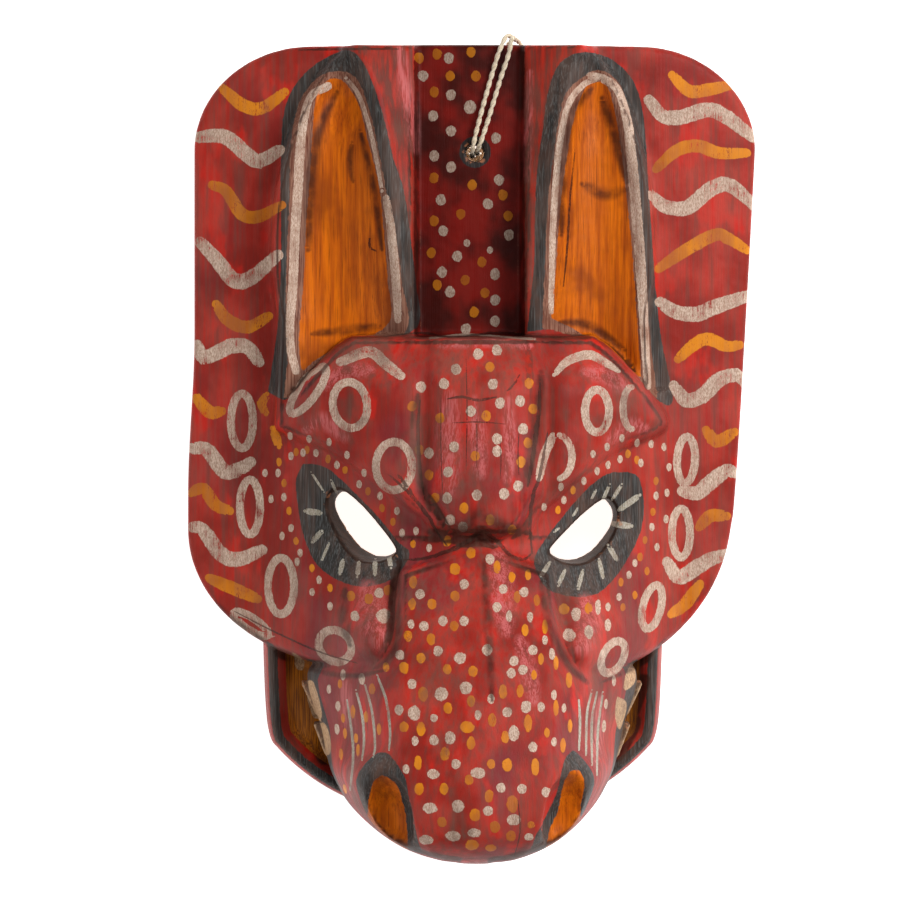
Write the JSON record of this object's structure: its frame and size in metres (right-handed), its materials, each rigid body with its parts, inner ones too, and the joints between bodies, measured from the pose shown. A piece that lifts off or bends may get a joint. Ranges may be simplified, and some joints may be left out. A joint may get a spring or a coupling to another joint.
{
  "type": "carved animal mask",
  "caption": "Carved and painted wooden mask of a long-eared animal with an arched back panel, slanted eye holes, a long snout, an open mouth and a twine loop to hang it by.",
  "frame": {"origin": "middle of the mask's outline, on the plane that its back rim rests on", "axes": "+Y towards the tips of the ears, +X to the viewer's right when facing the mask, +Z out of the face"},
  "size_m": [0.203, 0.2876, 0.1065],
  "materials": {
    "painted_wood": "red paint with white, amber and black strokes, worn and antiqued, under a satin varnish; bare wood in the hollow",
    "twine": "two-ply cream twine, matte"
  },
  "bodies": {
    "root": {"mask": "painted_wood", "hanging_cord": "twine", "cord_knot": "twine"}
  },
  "joints": []
}
